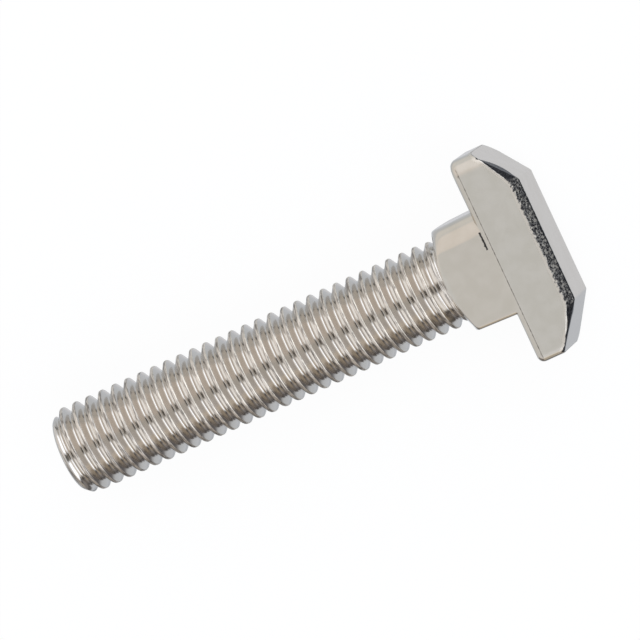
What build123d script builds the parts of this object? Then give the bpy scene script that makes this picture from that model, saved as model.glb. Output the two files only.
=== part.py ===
from build123d import *

import os
from math import radians, tan

# T slot bolt with a flat-sided neck, cold forged in one piece, M8 x 1.25.
#
# The bolt lies on a flat side of its head. The origin is on the bolt's axis, in the face under
# the head that bears on the slot's lips. X runs along the shank to the tip, Y along the head and
# Z across the head. Lengths are in millimetres and angles in degrees.

# Shank: the outer cylinder of the thread, which runs from the neck to the tip
shank_diameter = 7.85
length_under_head = 41.25
tip_chamfer_length = 0.85
tip_chamfer_depth = 0.7
tip_edge_radius = 0.25

# Neck, which keeps the bolt from turning in the slot. Two opposite corners are well rounded, so
# that the bolt can be turned into the slot one way only. Its sides lie a little inside the head's.
neck_length = 4.6
neck_along_head = 9.4
neck_recess = 0.125
neck_draft = 2.0
neck_round_corner_radius = 1.9
neck_square_corner_radius = 0.4
neck_bevel_angle = 26.0
neck_root_radius = 0.2

# Head, a bar across the axis with a top that slopes down to both ends
head_length = 18.6
head_width = 8.5
head_height = 5.0
head_corner_radii = {-1: 1.3, 1: 0.6}
bearing_edge_radius = 0.5

# Slope from the top to each end of the head: how far in it starts and how far down it comes
slope_starts = {-1: 3.7, 1: 3.8}
slope_drops = {-1: 2.9, 1: 2.7}
slope_bend_radius = 0.9
slope_end_radius = 0.3

# Trimmed bevel between the top and the two flat sides, which runs out down the slopes
bevel_depth = 0.85
bevel_drop = 0.65
bevel_end_gap = 0.8

shank_radius = shank_diameter / 2
half_length = head_length / 2
half_width = head_width / 2
neck_across_head = head_width - 2 * neck_recess

def at_neck_foot(edge):
    """Whether an edge lies where the neck meets the head."""
    return all(
        abs(end.X) < bearing_edge_radius and abs(end.Y) < neck_along_head / 2
        for end in edge.vertices()
    )

def at_slope_end(edge):
    """Whether an edge lies where a slope of the top meets an end of the head."""
    corner_radius = max(head_corner_radii.values())
    return all(
        end.X < -2 * bearing_edge_radius and abs(end.Y) > half_length - 1.5 * corner_radius
        for end in edge.vertices()
    )

def facet(first, second, third):
    """The plane through three points on the head's top, with its normal pointing off the head."""
    along = Vector(*second) - Vector(*first)
    normal = along.cross(Vector(*third) - Vector(*first))
    if normal.X > 0:
        normal = -normal
    return Plane(origin=first, x_dir=along, z_dir=normal)

with BuildPart() as t_slot_bolt:
    # Head: a bar with rounded upright corners and a rounded edge all round the bearing face
    with BuildSketch(Plane.YZ):
        Rectangle(head_length, head_width)
        for end, radius in head_corner_radii.items():
            end_corners = vertices().filter_by(lambda corner: corner.X * end > 0)
            fillet(end_corners, radius=radius)
    extrude(amount=-head_height)
    bearing_face = t_slot_bolt.faces().sort_by(Axis.X)[-1]
    fillet(bearing_face.edges(), radius=bearing_edge_radius)

    # The top slopes down to each end
    for end, drop in slope_drops.items():
        top_y = end * (half_length - slope_starts[end])
        slope = facet(
            (-head_height, top_y, 0),
            (-head_height, top_y, half_width),
            (drop - head_height, end * half_length, 0),
        )
        split(bisect_by=slope, keep=Keep.BOTTOM)
    top_face = t_slot_bolt.faces().sort_by(Axis.X)[0]
    fillet(top_face.edges().filter_by(Axis.Z), radius=slope_bend_radius)
    fillet(t_slot_bolt.edges().filter_by(at_slope_end), radius=slope_end_radius)

    # Both long edges of the top are trimmed off, straight and then running out down the slopes
    edge_x = bevel_drop - head_height
    for side in (-1, 1):
        side_z = side * half_width
        inner_z = side * (half_width - bevel_depth)
        straight = facet(
            (edge_x, 0, side_z),
            (edge_x, half_length, side_z),
            (-head_height, 0, inner_z),
        )
        split(bisect_by=straight, keep=Keep.BOTTOM)
        for end, drop in slope_drops.items():
            top_y = end * (half_length - slope_starts[end])
            foot_y = end * (half_length - bevel_end_gap)
            foot_x = drop * (1 - bevel_end_gap / slope_starts[end]) - head_height
            runout = facet(
                (foot_x, foot_y, side_z),
                (edge_x, top_y, side_z),
                (-head_height, top_y, inner_z),
            )
            split(bisect_by=runout, keep=Keep.BOTTOM)

    # Neck, widest under the head
    with BuildSketch(Plane.YZ.offset(-bearing_edge_radius)):
        Rectangle(neck_along_head, neck_across_head)
        square_corners = vertices().filter_by(lambda corner: corner.X * corner.Y > 0)
        fillet(square_corners, radius=neck_square_corner_radius)
        round_corners = vertices().filter_by(lambda corner: corner.X * corner.Y < 0)
        fillet(round_corners, radius=neck_round_corner_radius)
    extrude(amount=neck_length + bearing_edge_radius, taper=neck_draft)
    fillet(t_slot_bolt.edges().filter_by(at_neck_foot), radius=neck_root_radius)

    # Its corners are turned off at the shank's end
    neck_reach = neck_along_head
    bevel_length = (neck_reach - shank_radius) * tan(radians(neck_bevel_angle))
    with BuildSketch(Plane.XY):
        with BuildLine():
            Polyline(
                (neck_length, shank_radius),
                (neck_length, neck_reach),
                (neck_length - bevel_length, neck_reach),
                close=True,
            )
        make_face()
    revolve(axis=Axis.X, mode=Mode.SUBTRACT)

    # Shank with its tip chamfered for the nut to start
    with BuildSketch(Plane.XY):
        with BuildLine():
            Polyline(
                (0, 0),
                (0, shank_radius),
                (length_under_head - tip_chamfer_length, shank_radius),
                (length_under_head, shank_radius - tip_chamfer_depth),
                (length_under_head, 0),
                close=True,
            )
        make_face()
    revolve(axis=Axis.X)
    tip_face = t_slot_bolt.faces().sort_by(Axis.X)[-1]
    fillet(tip_face.edges(), radius=tip_edge_radius)

t_slot_bolt.part.label = "t_slot_bolt"

os.makedirs("parts", exist_ok=True)
export_step(t_slot_bolt.part, "parts/t_slot_bolt.step")
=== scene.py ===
"""Looks of the T slot bolt: satin nickel plate over forged steel, with a rolled M8 thread.

Lengths are in millimetres where nothing else is said. X runs along the shank to the tip, Y along
the head and Z across it. The bolt lies on a flat side of its head, and x is 0 under the head.
"""

from math import cos, pi, radians, sin, tan

import bmesh
import bpy
import numpy as np
from mathutils import Matrix, Vector


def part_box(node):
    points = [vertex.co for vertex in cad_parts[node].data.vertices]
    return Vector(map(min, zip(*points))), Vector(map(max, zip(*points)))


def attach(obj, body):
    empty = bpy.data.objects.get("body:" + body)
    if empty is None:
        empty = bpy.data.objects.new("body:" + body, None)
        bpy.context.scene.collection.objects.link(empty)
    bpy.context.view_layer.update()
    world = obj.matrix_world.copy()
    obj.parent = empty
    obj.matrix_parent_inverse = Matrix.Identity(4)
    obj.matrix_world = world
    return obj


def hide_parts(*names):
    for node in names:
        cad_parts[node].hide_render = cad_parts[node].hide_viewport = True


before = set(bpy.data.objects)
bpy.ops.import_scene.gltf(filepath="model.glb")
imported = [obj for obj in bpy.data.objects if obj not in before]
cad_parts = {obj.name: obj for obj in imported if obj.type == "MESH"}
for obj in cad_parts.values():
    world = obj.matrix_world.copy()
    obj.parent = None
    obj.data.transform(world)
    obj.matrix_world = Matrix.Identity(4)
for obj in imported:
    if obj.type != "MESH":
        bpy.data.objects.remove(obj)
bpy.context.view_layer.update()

MM = 0.001
BOLT_LOW, BOLT_HIGH = (np.array(corner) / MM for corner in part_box("t_slot_bolt"))

# Head, a bar across the axis. Where there are two values, they are for the -Y end and the +Y end
HEAD_HEIGHT = -BOLT_LOW[0]
HALF_LENGTH = BOLT_HIGH[1]
HALF_WIDTH = BOLT_HIGH[2]
HEAD_CORNERS = (1.3, 0.6)
BEARING_EDGE = 0.6
SLOPE_STARTS = (3.7, 3.8)
SLOPE_DROPS = (2.9, 2.7)
BEVEL_DEPTH = 0.85
BEVEL_DROP = 0.65
BEVEL_END_GAP = 0.8
FLAT_EDGE = 0.2

# Distances from the head's end, and how far the edge round its top is rounded there
TOP_EDGE = ((0.7, 1.5, 3.0, 4.0), (0.3, 0.22, 0.2, 0.1))

# The torn strip down the slope to -Y, then to +Y: distances past the slope's start, and there the
# strip's outer border and its inner one, measured in from the head's side
TEARS = (
    ((0.0, 0.5, 1.0, 1.5, 2.0, 2.4, 2.75, 2.95),
     (0.0, 0.0, 0.0, 0.0, 0.0, 0.0, 0.0, 0.0),
     (0.85, 1.15, 1.75, 1.95, 1.7, 1.2, 0.5, 0.0)),
    ((0.0, 0.5, 0.9, 1.2, 1.45, 2.0, 2.5, 3.4, 3.75),
     (0.0, 0.0, 0.0, 0.08, 0.15, 0.12, -0.1, -0.16, -0.2),
     (0.85, 1.1, 1.35, 1.1, 0.85, 0.75, 0.5, 0.45, 0.4)),
)

# The distance past a slope's start over which its wedge mark comes in
WEDGE_BLEND = 0.3

# Points this near to the head's upper side may carry the strip over the edge of the top, and the
# way down from that edge counts this much more
SIDE_REACH = 0.3
BORDER_GAP = 0.05

# The fine seam round the head, a small gap short of the end of the rounded edge under it. It is
# drawn as a dark line of painted shade
SEAM_GAP = 0.05
SEAM_HALF_WIDTH = 0.035

# Neck. Its edge to the turned bevel is rounded by the first of NECK_EDGE, and by up to the second at
# the round corners, between the two distances from the axis in NECK_EDGE_REACH
NECK_LENGTH = 4.6
NECK_HALF_Y = 4.7
NECK_HALF_Z = 4.125
NECK_DRAFT = tan(radians(2.0))
NECK_ROUND_CORNER = 1.9
NECK_SQUARE_CORNER = 0.4
NECK_BEVEL = tan(radians(26.0))
NECK_EDGE = (0.25, 1.0)
NECK_EDGE_REACH = (4.9, 5.5)
FOOT_EDGE = 0.2

# Shank and thread
LENGTH = BOLT_HIGH[0]
SHANK_RADIUS = 3.925
PITCH = 1.25
THREAD_DEPTH = 0.69
THREAD_PHASE = 0.77
FLANK_SLOPE = 1 / tan(radians(30.0))
CREST_HALF_FLAT = 0.13
CREST_ROUNDING = 0.05
ROOT_ROUNDING = 0.16
TIP_CHAMFER_LENGTH = 0.85
TIP_CHAMFER_DEPTH = 0.7
TIP_EDGE = 0.25

# The lap along the crest, its mean share of the depth and the sizes of its waves
LAP_DEPTH = 0.03
LAP_MEAN = 0.6
LAP_WAVES = (0.11, 0.17, 0.31)

# The crest's finish goes this far past its flat. On the neck's side of it a painted highlight is
# drawn, a bright line of colour. Its border falls on a row of the mesh, so the rounding of numbers
# breaks the highlight up, as on a rolled crest
CREST_SPREAD = 0.02
CREST_EDGE_HIGHLIGHT_GAP = 0.01
CREST_EDGE_HIGHLIGHT_HALF_WIDTH = 0.02

# Where the thread runs out: its length, and the low crest and the share of the groove at its end
RUNOUT_LENGTH = 0.9 * PITCH
RUNOUT_LOW_CREST = 0.22
RUNOUT_GROOVE = 0.45

# Rows of the mesh across half a pitch, from the crest to the root
THREAD_ROWS = (0.0, 0.07, 0.12, 0.165, 0.44, 0.49, 0.54, 0.585, PITCH / 2)

# Columns of the mesh round the axis: a side of the head, an end of the head and a corner. A
# column's turn is its angle from +Y towards +Z, a right angle in the middle of the upper side
SIDE_STEPS = 52
END_STEPS = 16
CORNER_STEPS = 6
COLUMNS = 2 * (SIDE_STEPS + END_STEPS) + 4 * CORNER_STEPS
UPPER_COLUMN = CORNER_STEPS + SIDE_STEPS / 2
COLUMN_TURN = np.radians(90) - (np.arange(COLUMNS) - UPPER_COLUMN) * 2 * np.pi / COLUMNS

# Rings of the mesh: shares of the way along a wall, the tip's face, the turned bevel and the head's
# flat top, and the numbers of steps over the face under the head and down the slopes
WALL_SHARES = (0.04, 0.3, 0.6, 0.85, 0.95)
TIP_SHARES = (0.35, 0.7, 0.88)
BEVEL_SHARES = (0.25, 0.5, 0.75)
FLAT_SHARES = (0.25, 0.5, 0.75, 1.0)
BEARING_STEPS = 21
SLOPE_STEPS = 8

# Points this close together are one, and a length that is divided by is never less than the second
MERGE_DISTANCE = 0.002
LEAST_LENGTH = 1e-9

# Marks kept on the surface's points: up is the distance in from a torn strip's outer border, left is
# the distance on to its inner one, wedge is 1 down the slopes, and the others are 1 on a crest, on
# the painted highlight at its edge and in the head's seam, which gets painted shade
MARKS = ("up", "left", "wedge", "crest", "crest_edge_highlight", "seam")

# Patterns, with their sizes and details: the grit of torn steel in two sizes, and the plate's clouds
# and ripple. Real grit is near 0.03 and too fine to show, so both sizes of it are drawn coarser
PATTERNS = ((0.11, 4), (0.26, 4), (1.4, 3), (0.4, 2))

# Streaks of a rolled crest, fine across the thread and long the other two ways. Real ones are near
# 0.04 across and too fine to show, so they are drawn coarser
STREAKS = (0.11, 1.0, 1.0)
STREAK_DETAIL = 3

# Heights of the ripple, the streaks and the grit
RIPPLE_HEIGHT = 0.0015
STREAK_HEIGHT = 0.006
GRIT_HEIGHT = 0.05

# Colours: the plate and its clouds, a crest's dark streaks and bright ones, the painted highlight at
# its edge, the painted shade in the head's seam, the painted highlight on the brink, the torn steel's
# pits and grains, darkened as a painted reflection, its plain dark parts, also a painted reflection,
# and the painted shadow of the gap between neck and head
PLATE = ("#D1CABD", "#D7D0C4")
CREST = ("#7A7167", "#DFD4C5")
CREST_EDGE_HIGHLIGHT = "#F0E5D2"
SEAM_SHADE = "#6E665C"
BRINK_HIGHLIGHT = "#E0D6C7"
TORN_AND_REFLECTION = ("#1B1B1E", "#8C8985")
PLAIN_DARK_REFLECTION = "#28282B"
GAP_SHADOW = "#3A3836"

# The plate is a little warmer on the neck and cooler on the thread: from, to, share and colour. Each
# tint comes and goes over these half widths
TINTS = ((-0.5, 4.2, 0.25, "#CBBDAA"), (4.6, LENGTH + 1, 0.4, "#D2CBC6"))
TINT_FADES = (0.1, 0.2)

# How far the coarse grit and the grit push the torn strip's outer border out, and what is added to
# both. Down a slope they push it less, and so they do with the inner border, the crease
RAGGED = (0.8, 0.5, -0.56)
RAGGED_ON_SLOPE = 0.25
RAGGED_AT_CREASE = 0.25

# Where finishes come in and go, as distances in from the torn strip's outer border and, with CREASE
# in the name, from its inner one
BORDER_FADE = (-0.02, 0.06)
CREASE_FADE = (-0.02, 0.04)
CREASE_DARK = (0.2, 0.08)
BRINK_START = (-0.42, -0.2)
BRINK_END = (0.12, 0.02)

# The same for patterns, whose mean is a half. Four numbers are from, to, and the shares at both
OPEN_STEEL = (0.36, 0.5, 0.55, 1.0)
GRAINS = (0.45, 0.66)
CLOUDS = (0.3, 0.7)
BRIGHT_STREAKS = (0.34, 0.62)
CREST_EDGE_HIGHLIGHT_SHARE = (0.35, 0.55, 0.2, 1.0)
SEAM_SHADE_SHARE = (0.35, 0.6, 0.9, 0.45)

# How strongly a colour covers the plate: the crests' finish, the brink's painted highlight and the
# torn strip's plain dark, a painted reflection
CREST_COVER = 0.85
BRINK_COVER = 0.5
PLAIN_DARK_COVER = 0.8

# Roughness: the plate's, what its clouds add at most, and what crests, brink and torn steel add
PLATE_ROUGHNESS = 0.12
CLOUD_ROUGHNESS = 0.06
CREST_ROUGHNESS = 0.3
BRINK_ROUGHNESS = 0.2
TORN_ROUGHNESS = 0.22

# Painted shadow: a dark slit in the corner between neck and head, which comes in at a Z and lies
# above it. It strays along X by up to half its wobble
GAP_SHADOW_X = -0.1
GAP_SHADOW_Y = -2.1
GAP_SHADOW_START = (3.8, 3.9)
GAP_SHADOW_HALF_WIDTH = 0.12
GAP_SHADOW_HALF_LENGTH = 0.85
GAP_SHADOW_FADE = 0.07
GAP_SHADOW_WOBBLE = 0.2

# Fields of the nodes that go smoothly from one value to another, and that mix colours. A colour mix
# has its share at input 0, its colours at 6 and 7, and the mixed colour at output 2
SMOOTH = {"interpolation_type": "SMOOTHSTEP"}
COLOURS = {"data_type": "RGBA"}

# Camera: far off, looking down on the bolt and a little along it from the head's side. Its leans and
# roll are in degrees, and its clipping distances in metres
HEAD_LEAN = 12.3
END_LEAN = 2.7
ROLL = 24.52
DISTANCE = 700.0
VIEW_WIDTH = 54.445
SENSOR = 36.0
AIM = Vector((16.56, -1.55, -0.74))
CLIP_START = 0.01
CLIP_END = 10.0

# Floor: half its side in metres, its colour, its glow, and how much of the glow the eye sees
FLOOR_HALF_SIDE = 2.0
PAPER = "#F4F4F4"
PAPER_GLOW = "#FFFFFF"
PAPER_SEEN = 0.95

# The studio round the bolt, by two angles in degrees: how far a direction leans to the tip, and how
# far it is turned about the bolt from straight up to +Y. The paper below it comes in between two
# heights, from 1 straight up to -1 straight down. Each patch has its lowest and highest lean and
# how soft that edge is, the same for its turn, its colour and its strength. It covers those before it
SKY = "#E5E9EF"
PAPER_BELOW = (("#D3DAE4", -0.15, -0.35), ("#DBDDE3", -0.94, -0.98))
PATCHES = (
    # Softboxes on the -Y and the +Y side, and their brighter ends past the head
    ((-30, 70, 14), (-76, -4, 4), "#F6F4F6", 1.01),
    ((-30, 70, 14), (14, 62, 9), "#F4F7FF", 0.88),
    ((-62, 4, 9), (-74, -17, 6), "#EAF2FF", 2.1),
    ((-62, 4, 9), (13, 74, 5), "#EAF2FF", 2.1),
    # The dark gap between those ends, and the dark foot of the -Y one
    ((-62, 5, 6), (-14, 10, 4), "#666462", 1.0),
    ((-62, 6, 6), (-108, -99, 3), "#4E4C4A", 1.0),
    # The dim room past the +Y softbox, a pale patch far down, and two darker bands
    ((2, 80, 8), (62, 100, 7), "#BFB7B0", 1.0),
    ((-75, 75, 6), (76, 138, 6), "#8F8D8F", 1.0),
    ((-8, 20, 4), (150, 171, 6), "#BFC4CC", 1.0),
    ((-75, 75, 6), (80, 91, 4), "#5A585A", 1.0),
    ((-75, 75, 6), (118, 136, 3), "#68676A", 1.0),
    # A pale screen low on the -Y side, and two small ones on the +Y side, a little to the tip
    ((8, 75, 8), (-118, -86, 8), "#EDEFF2", 1.0),
    ((4, 22, 4), (48, 66, 6), "#F6F3F0", 1.05),
    ((4, 22, 4), (74, 106, 5), "#C9C2B8", 1.0),
)


def bar_outline(low_y, high_y, half_z, corners):
    """Outline of a bar seen from its end, as (columns, 2) points of y and z.

    It starts at the corner (low_y, half_z) and goes round by way of (high_y, half_z). Each side is
    a straight run and each corner a quarter circle. corners are the radii at (low_y, half_z),
    (high_y, half_z), (high_y, -half_z) and (low_y, -half_z).
    """
    signs = ((low_y, half_z, 180), (high_y, half_z, 90), (high_y, -half_z, 0), (low_y, -half_z, -90))
    middle_y = (low_y + high_y) / 2
    arcs = []
    for (y, z, start), radius in zip(signs, corners):
        turn = np.radians(start - np.linspace(0, 90, CORNER_STEPS + 1))
        centre = np.array((y - np.sign(y - middle_y) * radius, z - np.sign(z) * radius))
        arcs.append(centre + radius * np.stack([np.cos(turn), np.sin(turn)], axis=1))
    points = []
    for corner, steps in zip(range(4), (SIDE_STEPS, END_STEPS, SIDE_STEPS, END_STEPS)):
        here, after = arcs[corner], arcs[(corner + 1) % 4]
        share = (np.arange(1, steps) / steps)[:, None]
        points += [here, here[-1] * (1 - share) + after[0] * share]
    return np.concatenate(points)


def ring(x, outline):
    """A ring of points (columns, 3): x may be one number or one per column."""
    return np.column_stack([np.broadcast_to(x, len(outline)), outline])


def between(first, last, shares):
    """Rings between two rings, at the given shares of the way."""
    return [first * (1 - share) + last * share for share in shares]


def soften(before, here, after, reach, steps=3, most=0.45):
    """Rings that round off the edge at one ring.

    They follow a parabola that leaves the line to the ring before at the distance reach and joins
    the line to the ring after at the same distance, or at the share most of a shorter line.
    """
    def step(other):
        away = other - here
        size = np.linalg.norm(away, axis=1, keepdims=True)
        return here + away * np.minimum(reach / np.maximum(size, LEAST_LENGTH), most)

    start, end = step(before), step(after)
    turns = np.linspace(0, 1, steps + 1)
    return [start * (1 - t) ** 2 + here * 2 * t * (1 - t) + end * t ** 2 for t in turns]


def soft_max(first, second, size):
    """The larger of two numbers, with the crease between them rounded over about size.

    It is half the sum of both numbers and the long side of a right triangle, whose short sides are
    their difference and size.
    """
    return (first + second + np.sqrt((first - second) ** 2 + size ** 2)) / 2


def circle(radius):
    """Outline of the shank: the radius times the cosine and sine of the column's turn gives y and z."""
    return np.stack([np.cos(COLUMN_TURN), np.sin(COLUMN_TURN)], axis=1) * np.reshape(radius, (-1, 1))


def waver(along, sizes, spread=7.3):
    """A wavering number along a length: the mean of sines, one for each size, with their starts spread."""
    return sum(np.sin(along / size + spread * size) for size in sizes) / len(sizes)


def pitches_along(x, turn):
    """Pitches along the thread: a whole number at a crest, as x grows by a pitch for each turn."""
    return (x - THREAD_PHASE - PITCH * turn / (2 * np.pi)) / PITCH


def thread_radius(x, turn):
    """Radius of the thread at a distance x along the axis and an angle turn about it.

    From a crest's flat the flank falls at sixty degrees to its neighbour's, down to a rounded root.
    The crest has the fine lap where the two rolled flanks met, which wavers along it. The groove
    gets shallow and the crest low, eased at both ends, where the thread runs out at the neck.
    """
    along = pitches_along(x, turn)
    away = np.abs(along - np.round(along)) * PITCH
    fall = soft_max(away - CREST_HALF_FLAT, 0, CREST_ROUNDING) * FLANK_SLOPE
    form = THREAD_DEPTH - soft_max(THREAD_DEPTH - fall, 0, ROOT_ROUNDING)
    helix = SHANK_RADIUS * (turn + 2 * np.pi * np.round(along))
    lap = LAP_DEPTH * (LAP_MEAN + waver(helix, LAP_WAVES)) * np.clip(1 - away / CREST_HALF_FLAT, 0, 1)
    runout = np.clip((x - NECK_LENGTH) / RUNOUT_LENGTH, 0, 1)
    runout = runout * runout * (3 - 2 * runout)
    crest = SHANK_RADIUS - RUNOUT_LOW_CREST * (1 - runout) - np.maximum(lap, 0)
    return crest - form * (RUNOUT_GROOVE + (1 - RUNOUT_GROOVE) * runout)


def tip_radius(x):
    """Radius of the tip's chamfer at x, which cuts the last crests down."""
    slope = TIP_CHAMFER_DEPTH / TIP_CHAMFER_LENGTH
    return SHANK_RADIUS - np.maximum(0, x - (LENGTH - TIP_CHAMFER_LENGTH)) * slope


def shank_rings():
    """Rings of the threaded shank from the tip to the neck, and the number of them in a pitch.

    The rings lean with the thread, so that a crest stays on one row: along a row, x grows by a
    pitch for each turn. Where a row leaves the shank it is held at the end, and the points that
    fall together are merged later.
    """
    half = np.array(THREAD_ROWS)
    one_pitch = np.concatenate([half, PITCH - half[-2:0:-1]])
    first = int((NECK_LENGTH - THREAD_PHASE) / PITCH) - 1
    last = int((LENGTH - THREAD_PHASE) / PITCH) + 2
    starts = THREAD_PHASE + PITCH * np.arange(first, last)
    rows = (starts[:, None] + one_pitch).ravel()[::-1]
    turn = COLUMN_TURN[None, :]
    x = np.clip(rows[:, None] + PITCH * turn / (2 * np.pi), NECK_LENGTH, LENGTH - TIP_EDGE)
    radius = np.minimum(thread_radius(x, turn), tip_radius(x))
    return np.stack([x, radius * np.cos(turn), radius * np.sin(turn)], axis=2), len(one_pitch)


def top_height(y, z):
    """x of the head's top at a place on its outline: the highest cut wins.

    The cuts are the flat top, the slope to each end, the straight bevel along each side and its
    runout down each slope, all of them planes.
    """
    z = np.abs(z)
    inner = HALF_WIDTH - BEVEL_DEPTH
    cuts = [np.full(np.shape(y), -HEAD_HEIGHT), -HEAD_HEIGHT + (z - inner) / BEVEL_DEPTH * BEVEL_DROP]
    for side, start, drop in zip((-1, 1), SLOPE_STARTS, SLOPE_DROPS):
        past = side * y - (HALF_LENGTH - start)
        cuts.append(-HEAD_HEIGHT + past / start * drop)
        # The runout goes through its foot and the bevel's outer and inner corner
        foot = start - BEVEL_END_GAP
        along = (drop * foot / start - BEVEL_DROP) / foot
        cuts.append(-HEAD_HEIGHT + past * along + (z - inner) / BEVEL_DEPTH * BEVEL_DROP)
    return np.max(cuts, axis=0)


def bearing_height(y, z):
    """x of the face under the head, which rounds off towards the head's outline.

    The place's distance inside the outline is that to a bar with round corners, and the edge is a
    quarter circle.
    """
    corner = np.where(y < 0, HEAD_CORNERS[0], HEAD_CORNERS[1])
    past_y = np.abs(y) - (HALF_LENGTH - corner)
    past_z = np.abs(z) - (HALF_WIDTH - corner)
    outside = np.hypot(np.maximum(past_y, 0), np.maximum(past_z, 0))
    inside = corner - outside - np.minimum(np.maximum(past_y, past_z), 0)
    into_edge = np.clip(BEARING_EDGE - inside, 0, BEARING_EDGE)
    return np.sqrt(BEARING_EDGE ** 2 - into_edge ** 2) - BEARING_EDGE


def neck_outline(x):
    """Outline of the neck at x, which the draft narrows towards the shank."""
    y, z = NECK_HALF_Y - x * NECK_DRAFT, NECK_HALF_Z - x * NECK_DRAFT
    corners = (NECK_ROUND_CORNER, NECK_SQUARE_CORNER) * 2
    return bar_outline(-y, y, z, corners)


def tip_rings(shank):
    """Rings of the tip, from the centre of its flat face to the rounded edge where the shank starts."""
    face = ring(LENGTH, circle(tip_radius(LENGTH)))
    centre = ring(LENGTH, circle(0.0))
    tip = [centre, *between(centre, face, TIP_SHARES)]
    return tip + soften(tip[-1], face, shank[0], TIP_EDGE)


def neck_rings(shank):
    """Rings of the neck from the shank's end down to its foot, and the foot's own ring.

    A turned bevel, which is a cone, cuts the neck's end: each column's edge is where the cone meets
    it. The edge is rounded by the small reach of NECK_EDGE, and at the round corners, where y and z
    differ in sign and the outline is far out, by the large one.
    """
    plain = neck_outline(NECK_LENGTH / 2)
    out = np.hypot(*plain.T)
    bevel_x = NECK_LENGTH - (out - SHANK_RADIUS) * NECK_BEVEL
    edge = ring(bevel_x, plain * (1 + (NECK_LENGTH / 2 - bevel_x) * NECK_DRAFT / out)[:, None])
    foot_yz = neck_outline(0.0)
    foot = ring(bearing_height(*foot_yz.T), foot_yz)
    round_corner = np.interp(out, NECK_EDGE_REACH, NECK_EDGE)
    reach = np.where(plain[:, 0] * plain[:, 1] < 0, round_corner, NECK_EDGE[0])[:, None]
    neck = between(shank[-1], edge, BEVEL_SHARES)
    neck += soften(shank[-1], edge, foot, reach, steps=5)
    return neck + between(neck[-1], foot, WALL_SHARES), foot


def head_rings(neck, foot):
    """Rings of the head: a list up to the middle of its top's rounded edge, and a list of the rest.

    The face under the head spreads from the neck's foot to the head's outline, closer together
    towards it as a sine does. The wall goes straight up to the cuts of the top, and the top goes
    from the edge over the slopes and bevels to the flat and its centre.
    """
    outline = bar_outline(-HALF_LENGTH, HALF_LENGTH, HALF_WIDTH, HEAD_CORNERS + HEAD_CORNERS[::-1])
    face = []
    for share in np.sin(np.linspace(0, np.pi / 2, BEARING_STEPS + 1))[1:]:
        here = foot[:, 1:] * (1 - share) + outline * share
        face.append(ring(bearing_height(*here.T), here))
    under = soften(neck[-1], foot, face[1], FOOT_EDGE) + face[2:]

    edge = ring(top_height(*outline.T), outline)
    flat_y = np.clip(outline[:, 0], SLOPE_STARTS[0] - HALF_LENGTH, HALF_LENGTH - SLOPE_STARTS[1])
    flat_z = np.clip(outline[:, 1], BEVEL_DEPTH - HALF_WIDTH, HALF_WIDTH - BEVEL_DEPTH)
    flat = ring(-HEAD_HEIGHT, np.stack([flat_y, flat_z], axis=1))
    centre = flat * (1, 0, 0)
    wall = between(face[-1], edge, WALL_SHARES)
    slopes = between(edge, flat, np.arange(1, SLOPE_STEPS) / SLOPE_STEPS)
    reach = np.interp(HALF_LENGTH - np.abs(outline[:, :1]), *TOP_EDGE)
    rounded = soften(wall[-1], edge, slopes[0], reach)
    middle = len(rounded) // 2
    top = rounded[middle:] + slopes + soften(slopes[-1], flat, centre, FLAT_EDGE)
    return under + wall + rounded[:middle], top + between(flat, centre, FLAT_SHARES)


def bevel_place(points):
    """Where points lie on the torn strips, as three arrays.

    up is the distance in from the strip's outer border, left the distance on to its inner border,
    and wedge is 1 down the slopes. Along the straight bevel the strip is the bevel itself, and on
    the far side it stays on the runouts.
    """
    y, z = points[..., 1], points[..., 2]
    outer, inner, wedge = np.zeros(y.shape), np.full(y.shape, BEVEL_DEPTH), np.zeros(y.shape)
    for side, start, (stations, near, far) in zip((-1, 1), SLOPE_STARTS, TEARS):
        past = side * y - (HALF_LENGTH - start)
        runout = BEVEL_DEPTH * np.clip(1 - past / (start - BEVEL_END_GAP), -1, 1)
        outer = np.where(past > 0, np.interp(past, stations, near), outer)
        inner = np.where(past > 0, np.where(z > 0, np.interp(past, stations, far), runout), inner)
        wedge = np.where(past > 0, np.clip(past / WEDGE_BLEND, 0, 1), wedge)
    up = HALF_WIDTH - np.abs(z)
    return up - outer, inner - up, wedge


def bolt_rings():
    """All rings of the bolt, from the tip's centre to the centre of the head's top.

    With them come the number of rows in a pitch and the numbers of the first ring of the shank, of
    the neck and of the head's top.
    """
    shank, pitch_rows = shank_rings()
    tip = tip_rings(shank)
    neck, foot = neck_rings(shank)
    sides, top = head_rings(neck, foot)
    starts = np.cumsum([len(tip), len(shank), len(neck + sides)])
    return np.concatenate([tip, shank, neck + sides, top]), pitch_rows, starts


def bolt_marks(rings, shank_start, neck_start, top_start):
    """The marks of every point, in the order of MARKS.

    Below the top's edge, up is less than nought by the way down from the edge. At the upper side
    alone it starts from the outer border's own place, so that only there the strip goes over the
    edge. The crest and the painted highlight at its edge go by the distance from the crest's middle
    along X.
    """
    up, left, wedge = bevel_place(rings)
    wall = slice(neck_start, top_start)
    down = BORDER_GAP + np.linalg.norm(rings[wall] - rings[top_start - 1], axis=2)
    up[wall] = np.where(rings[wall, :, 2] > HALF_WIDTH - SIDE_REACH, up[wall], 0) - down
    up[:neck_start] = -1
    left[:top_start] = BEVEL_DEPTH

    crest, crest_edge_highlight, seam = (np.zeros(up.shape) for mark in range(3))
    shank = slice(shank_start, neck_start)
    along = pitches_along(rings[shank, :, 0], COLUMN_TURN)
    past = (along - np.round(along)) * PITCH
    crest[shank] = np.abs(past) < CREST_HALF_FLAT + CREST_SPREAD
    # A painted highlight: a bright line on the neck's side of each crest
    crest_edge_highlight[shank] = np.abs(past + CREST_HALF_FLAT + CREST_EDGE_HIGHLIGHT_GAP) < CREST_EDGE_HIGHLIGHT_HALF_WIDTH
    # Painted shade: a dark line along the seam round the head
    seam[neck_start:] = np.abs(rings[neck_start:, :, 0] + BEARING_EDGE - SEAM_GAP) < SEAM_HALF_WIDTH
    return up, left, wedge, crest, crest_edge_highlight, seam


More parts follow.
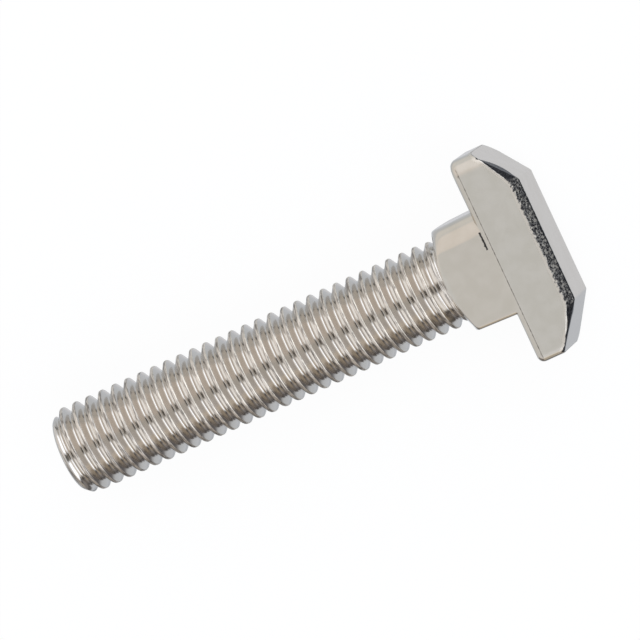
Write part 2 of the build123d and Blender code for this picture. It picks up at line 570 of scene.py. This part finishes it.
def make_bolt(name):
    """The bolt as one closed mesh of quads between its rings, with its marks.

    The last column of a leaning row meets the first column of the row a pitch further on. Rings
    that aren't leaning close on themselves.
    """
    rings, pitch_rows, (shank_start, neck_start, top_start) = bolt_rings()
    number = np.arange(len(rings) * COLUMNS).reshape(-1, COLUMNS)
    after = np.roll(number, -1, axis=1)
    leaning = np.arange(shank_start, neck_start)
    after[leaning, -1] = number[np.minimum(leaning + pitch_rows, leaning[-1]), 0]
    quads = np.stack([number[:-1], after[:-1], after[1:], number[1:]], axis=2).reshape(-1, 4)
    mesh = bpy.data.meshes.new(name)
    mesh.from_pydata((rings.reshape(-1, 3) * MM).tolist(), [], quads.tolist())
    for mark, values in zip(MARKS, bolt_marks(rings, shank_start, neck_start, top_start)):
        mesh.attributes.new(mark, "FLOAT", "POINT").data.foreach_set("value", values.ravel())
    piece = bpy.data.objects.new(name, mesh)
    bpy.context.scene.collection.objects.link(piece)
    return piece


def linear(hex_colour):
    """An sRGB hex colour as linear RGBA."""
    channels = [int(hex_colour[i:i + 2], 16) / 255 for i in (1, 3, 5)]
    return (*(c / 12.92 if c <= 0.04045 else ((c + 0.055) / 1.055) ** 2.4 for c in channels), 1.0)


def node(tree, kind, inputs=(), **fields):
    """Adds a node, sets its fields and fills its inputs, which are given in order or by name or number.

    An input takes a number, a vector, a hex colour, an output, or a node's first output in use.
    """
    made = tree.nodes.new("ShaderNode" + kind)
    for field, value in fields.items():
        setattr(made, field, value)
    for key, value in (inputs.items() if isinstance(inputs, dict) else enumerate(inputs)):
        if isinstance(value, bpy.types.Node):
            value = next(output for output in value.outputs if output.enabled)
        if isinstance(value, bpy.types.NodeSocket):
            tree.links.new(value, made.inputs[key])
        else:
            made.inputs[key].default_value = linear(value) if isinstance(value, str) else value
    return made


def merge_and_smooth(piece):
    """Merges the points that fall together at the poles and the shank's ends, and smooths the shading."""
    work = bmesh.new()
    work.from_mesh(piece.data)
    bmesh.ops.remove_doubles(work, verts=work.verts, dist=MERGE_DISTANCE * MM)
    work.to_mesh(piece.data)
    work.free()
    piece.data.shade_smooth()
    piece.modifiers.new("flat faces stay flat", "WEIGHTED_NORMAL").keep_sharp = False


def surface_patterns(tree):
    """The place in millimetres as X, Y and Z, then the patterns of PATTERNS, and the streaks.

    The streaks follow the thread: their X is the place's, less a pitch for each turn about it.
    """
    where = node(tree, "TexCoord").outputs["Object"]
    in_mm = node(tree, "VectorMath", {0: where, "Scale": 1 / MM}, operation="SCALE")
    place = node(tree, "SeparateXYZ", (in_mm,))
    patterns = [node(tree, "TexNoise", {"Vector": in_mm, "Scale": 1 / size, "Detail": detail})
                for size, detail in PATTERNS]
    turn = node(tree, "Math", (place.outputs["Z"], place.outputs["Y"]), operation="ARCTAN2")
    lead = -PITCH / (2 * pi)
    thread_x = node(tree, "Math", (turn, lead, place.outputs["X"]), operation="MULTIPLY_ADD")
    thread_place = node(tree, "CombineXYZ", (thread_x, place.outputs["Y"], place.outputs["Z"]))
    drawn_out = node(tree, "VectorMath", (thread_place, STREAKS), operation="DIVIDE")
    streaks = node(tree, "TexNoise", {"Vector": drawn_out, "Scale": 1, "Detail": STREAK_DETAIL})
    return place, *patterns, streaks


def torn_steel_and_reflection(tree, up, left, wedge, grit, coarse_grit):
    """Where the steel was torn by the trimming, where that is dark, and its colour.

    The strip is ragged by the grit. It is open and speckled, and its dark colour is a painted
    reflection of the dark surroundings. In its crease and down the slopes it is plain dark, also a
    painted reflection.
    """
    coarse_push, fine_push, start = RAGGED
    ragged = node(tree, "Math", (coarse_grit, coarse_push, start), operation="MULTIPLY_ADD")
    ragged = node(tree, "Math", (grit, fine_push, ragged), operation="MULTIPLY_ADD")
    unevenness = node(tree, "Math", (wedge, RAGGED_ON_SLOPE - 1, 1.0), operation="MULTIPLY_ADD")
    ragged = node(tree, "Math", (ragged, unevenness), operation="MULTIPLY")
    above_side = node(tree, "Math", (up, ragged), operation="ADD")
    above_side = node(tree, "MapRange", (above_side, *BORDER_FADE), **SMOOTH)
    below_crease = node(tree, "Math", (ragged, RAGGED_AT_CREASE, left), operation="MULTIPLY_ADD")
    below_crease = node(tree, "MapRange", (below_crease, *CREASE_FADE), **SMOOTH)
    torn = node(tree, "Math", (above_side, below_crease), operation="MULTIPLY")
    crease = node(tree, "MapRange", (left, *CREASE_DARK), **SMOOTH)
    dark_part = node(tree, "MapRange", (coarse_grit, *OPEN_STEEL), **SMOOTH)
    dark_part = node(tree, "Math", (dark_part, crease), operation="MAXIMUM")
    dark_part = node(tree, "Math", (dark_part, wedge), operation="MAXIMUM")
    dark = node(tree, "Math", (torn, dark_part), operation="MULTIPLY")
    grains = node(tree, "MapRange", (grit, *GRAINS), **SMOOTH)
    colour = node(tree, "Mix", {0: grains, 6: TORN_AND_REFLECTION[0], 7: TORN_AND_REFLECTION[1]}, **COLOURS)
    # Plain dark down the slopes and in the crease, a painted reflection
    closed = node(tree, "Math", (wedge, PLAIN_DARK_COVER), operation="MULTIPLY")
    closed = node(tree, "Math", (closed, crease), operation="MAXIMUM")
    colour = node(tree, "Mix", {0: closed, 6: colour, 7: PLAIN_DARK_REFLECTION}, **COLOURS)
    return torn, dark, colour


def plate_colour(tree, x, crest, crest_edge_highlight, seam, coarse_grit, clouds, streaks):
    """The plate: cloudy and tinted, streaked on the crests, with a painted highlight at their edges and
    painted shade in the seam.
    """
    cloud = node(tree, "MapRange", (clouds, *CLOUDS), **SMOOTH)
    plate = node(tree, "Mix", {0: cloud, 6: PLATE[0], 7: PLATE[1]}, **COLOURS)
    fade_in, fade_out = TINT_FADES
    for start, end, most, tint in TINTS:
        past = node(tree, "MapRange", (x, start - fade_in, start + fade_in, 0, most), **SMOOTH)
        before = node(tree, "MapRange", (x, end + fade_out, end - fade_out), **SMOOTH)
        share = node(tree, "Math", (past, before), operation="MULTIPLY")
        plate = node(tree, "Mix", {0: share, 6: plate, 7: tint}, **COLOURS)
    bright = node(tree, "MapRange", (streaks, *BRIGHT_STREAKS), **SMOOTH)
    streaked = node(tree, "Mix", {0: bright, 6: CREST[0], 7: CREST[1]}, **COLOURS)
    share = node(tree, "Math", (crest, CREST_COVER), operation="MULTIPLY")
    plate = node(tree, "Mix", {0: share, 6: plate, 7: streaked}, **COLOURS)
    # The painted highlight at the crests' edges, and the painted shade in the seam
    for mark, ramp, shade in ((crest_edge_highlight, CREST_EDGE_HIGHLIGHT_SHARE, CREST_EDGE_HIGHLIGHT), (seam, SEAM_SHADE_SHARE, SEAM_SHADE)):
        share = node(tree, "MapRange", (coarse_grit, *ramp), **SMOOTH)
        share = node(tree, "Math", (mark, share), operation="MULTIPLY")
        plate = node(tree, "Mix", {0: share, 6: plate, 7: shade}, **COLOURS)
    return plate


def neck_gap_shadow(tree, place, coarse_grit):
    """The gap's painted shadow: 1 within its half width and half length and above its start, and 0 outside
    them.
    """
    middle = -GAP_SHADOW_WOBBLE / 2 - GAP_SHADOW_X
    wobble = node(tree, "Math", (coarse_grit, GAP_SHADOW_WOBBLE, middle), operation="MULTIPLY_ADD")
    away = node(tree, "Math", (wobble, place.outputs["X"]), operation="ADD")
    along = node(tree, "Math", (place.outputs["Y"], GAP_SHADOW_Y), operation="SUBTRACT")
    gap_shadow = node(tree, "MapRange", (place.outputs["Z"], *GAP_SHADOW_START), **SMOOTH)
    for distance, half in ((away, GAP_SHADOW_HALF_WIDTH), (along, GAP_SHADOW_HALF_LENGTH)):
        distance = node(tree, "Math", (distance,), operation="ABSOLUTE")
        inside = node(tree, "MapRange", (distance, half, half - GAP_SHADOW_FADE), **SMOOTH)
        gap_shadow = node(tree, "Math", (gap_shadow, inside), operation="MULTIPLY")
    return gap_shadow


def nickel_plate():
    """Satin nickel plate over forged and rolled steel.

    The plate is warm grey with a soft mirror, and shows the forging's faint ripple and clouds. On
    the trimmed bevel the steel was torn: it is rough and speckled, and its dark colour is a painted
    reflection. The rolled crests are streaked along the thread, with a painted highlight at their
    edge.
    """
    material = bpy.data.materials.new("satin nickel plated steel")
    material.use_nodes = True
    tree = material.node_tree
    up, left, wedge, crest, crest_edge_highlight, seam = (
        node(tree, "Attribute", attribute_name=name).outputs["Fac"] for name in MARKS)
    place, grit, coarse_grit, clouds, ripple, streaks = surface_patterns(tree)
    torn, dark, torn_and_reflection_colour = torn_steel_and_reflection(tree, up, left, wedge, grit, coarse_grit)
    plate = plate_colour(tree, place.outputs["X"], crest, crest_edge_highlight, seam, coarse_grit, clouds, streaks)

    # The brink between the head's side and the torn strip has a painted highlight, a lighter cream colour
    below = node(tree, "MapRange", (up, *BRINK_START), **SMOOTH)
    above = node(tree, "MapRange", (up, *BRINK_END), **SMOOTH)
    brink = node(tree, "Math", (below, above), operation="MULTIPLY")
    share = node(tree, "Math", (brink, BRINK_COVER), operation="MULTIPLY")
    plate = node(tree, "Mix", {0: share, 6: plate, 7: BRINK_HIGHLIGHT}, **COLOURS)

    # A short dark slit in the corner between neck and head, a painted shadow of the gap there
    gap_shadow = neck_gap_shadow(tree, place, coarse_grit)
    dark = node(tree, "Math", (dark, gap_shadow), operation="MAXIMUM")
    torn_and_reflection_colour = node(tree, "Mix", {0: gap_shadow, 6: torn_and_reflection_colour, 7: GAP_SHADOW}, **COLOURS)

    # Where dark, the plate gives way to the torn strip's painted reflection and the gap's painted shadow
    colour = node(tree, "Mix", {0: dark, 6: plate, 7: torn_and_reflection_colour}, **COLOURS)
    rough = node(tree, "Math", (clouds, CLOUD_ROUGHNESS, PLATE_ROUGHNESS), operation="MULTIPLY_ADD")
    for finish, more in ((crest, CREST_ROUGHNESS), (brink, BRINK_ROUGHNESS), (dark, TORN_ROUGHNESS)):
        rough = node(tree, "Math", (finish, more, rough), operation="MULTIPLY_ADD")
    normal = node(tree, "Bump", {"Height": ripple, "Strength": 1, "Distance": RIPPLE_HEIGHT * MM})
    for pattern, share, height in ((streaks, crest, STREAK_HEIGHT), (grit, torn, GRIT_HEIGHT)):
        hills = {"Height": pattern, "Strength": share, "Distance": height * MM, "Normal": normal}
        normal = node(tree, "Bump", hills)
    shader = tree.nodes["Principled BSDF"]
    shader.inputs["Metallic"].default_value = 1.0
    for socket, source in (("Base Color", colour.outputs[2]), ("Roughness", rough.outputs[0]),
                           ("Normal", normal.outputs[0])):
        tree.links.new(source, shader.inputs[socket])
    return material


def add_camera():
    """A camera on AIM from far off, with a roll that lays the bolt aslant in its view."""
    lean, end_lean, roll = radians(HEAD_LEAN), radians(END_LEAN), radians(ROLL)
    toward = Vector((-sin(lean), -cos(lean) * sin(end_lean), cos(lean) * cos(end_lean))).normalized()
    along = Vector((-1, 0, 0))
    along = (along - along.dot(toward) * toward).normalized()
    across = along.cross(toward)
    right = cos(roll) * along + sin(roll) * across
    up = sin(roll) * along - cos(roll) * across
    camera = bpy.data.objects.new("camera", bpy.data.cameras.new("camera"))
    bpy.context.scene.collection.objects.link(camera)
    camera.data.sensor_width = SENSOR
    camera.data.lens = SENSOR * DISTANCE / VIEW_WIDTH
    camera.data.clip_start = CLIP_START
    camera.data.clip_end = CLIP_END
    facing = Matrix((right, up, toward)).transposed().to_4x4()
    camera.matrix_world = Matrix.Translation((AIM + toward * DISTANCE) * MM) @ facing
    bpy.context.scene.camera = camera


def add_floor():
    """White paper under the bolt: matt and even, near white to the eye, with the bolt's soft shadow.

    It is hidden from the metal, which mirrors the pale paper of the studio below it instead.
    """
    floor = bpy.data.objects.new("floor", bpy.data.meshes.new("floor"))
    bpy.context.scene.collection.objects.link(floor)
    half = FLOOR_HALF_SIDE
    corners = ((-half, -half), (half, -half), (half, half), (-half, half))
    floor.data.from_pydata([(x, y, -HALF_WIDTH * MM) for x, y in corners], [], [(0, 1, 2, 3)])
    paper = bpy.data.materials.new("white paper")
    paper.use_nodes = True
    tree = paper.node_tree
    tree.nodes.clear()
    matt = node(tree, "BsdfDiffuse", {"Color": PAPER})
    glow = node(tree, "Emission", {"Color": PAPER_GLOW, "Strength": 1})
    seen = node(tree, "LightPath").outputs["Is Camera Ray"]
    seen = node(tree, "Math", (seen, PAPER_SEEN), operation="MULTIPLY")
    mixed = node(tree, "MixShader", (seen, matt, glow))
    node(tree, "OutputMaterial", {"Surface": mixed})
    floor.data.materials.append(paper)
    floor.visible_glossy = False


def add_studio():
    """The studio round the bolt: pale above, the paper below, and the patches over both."""
    world = bpy.data.worlds.new("studio")
    bpy.context.scene.world = world
    world.use_nodes = True
    tree = world.node_tree
    tree.nodes.clear()
    way = node(tree, "SeparateXYZ", (node(tree, "TexCoord").outputs["Generated"],))
    lean = node(tree, "Math", (way.outputs["X"],), operation="ARCSINE")
    turn = node(tree, "Math", (way.outputs["Y"], way.outputs["Z"]), operation="ARCTAN2")
    colour = SKY
    for shade, start, end in PAPER_BELOW:
        share = node(tree, "MapRange", (way.outputs["Z"], start, end), **SMOOTH)
        colour = node(tree, "Mix", {0: share, 6: colour, 7: shade}, **COLOURS)
    for *ranges, shade, strength in PATCHES:
        share = 1.0
        for angle, (low, high, edge) in zip((lean, turn), ranges):
            off = node(tree, "Math", (angle, radians(low + high) / 2), operation="SUBTRACT")
            off = node(tree, "Math", (off,), operation="ABSOLUTE")
            half = (high - low) / 2
            inside = node(tree, "MapRange", (off, radians(half + edge), radians(half - edge)), **SMOOTH)
            share = node(tree, "Math", (inside, share), operation="MULTIPLY")
        glow = [channel * strength for channel in linear(shade)[:3]] + [1]
        colour = node(tree, "Mix", {0: share, 6: colour, 7: glow}, **COLOURS)
    back = node(tree, "Background", {"Color": colour, "Strength": 1})
    node(tree, "OutputWorld", {"Surface": back})


bolt = make_bolt("t_slot_bolt_surface")
merge_and_smooth(bolt)
bolt.data.materials.append(nickel_plate())
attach(bolt, "root")
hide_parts("t_slot_bolt")

add_camera()
add_floor()
add_studio()

bpy.context.scene.view_settings.view_transform = "Standard"
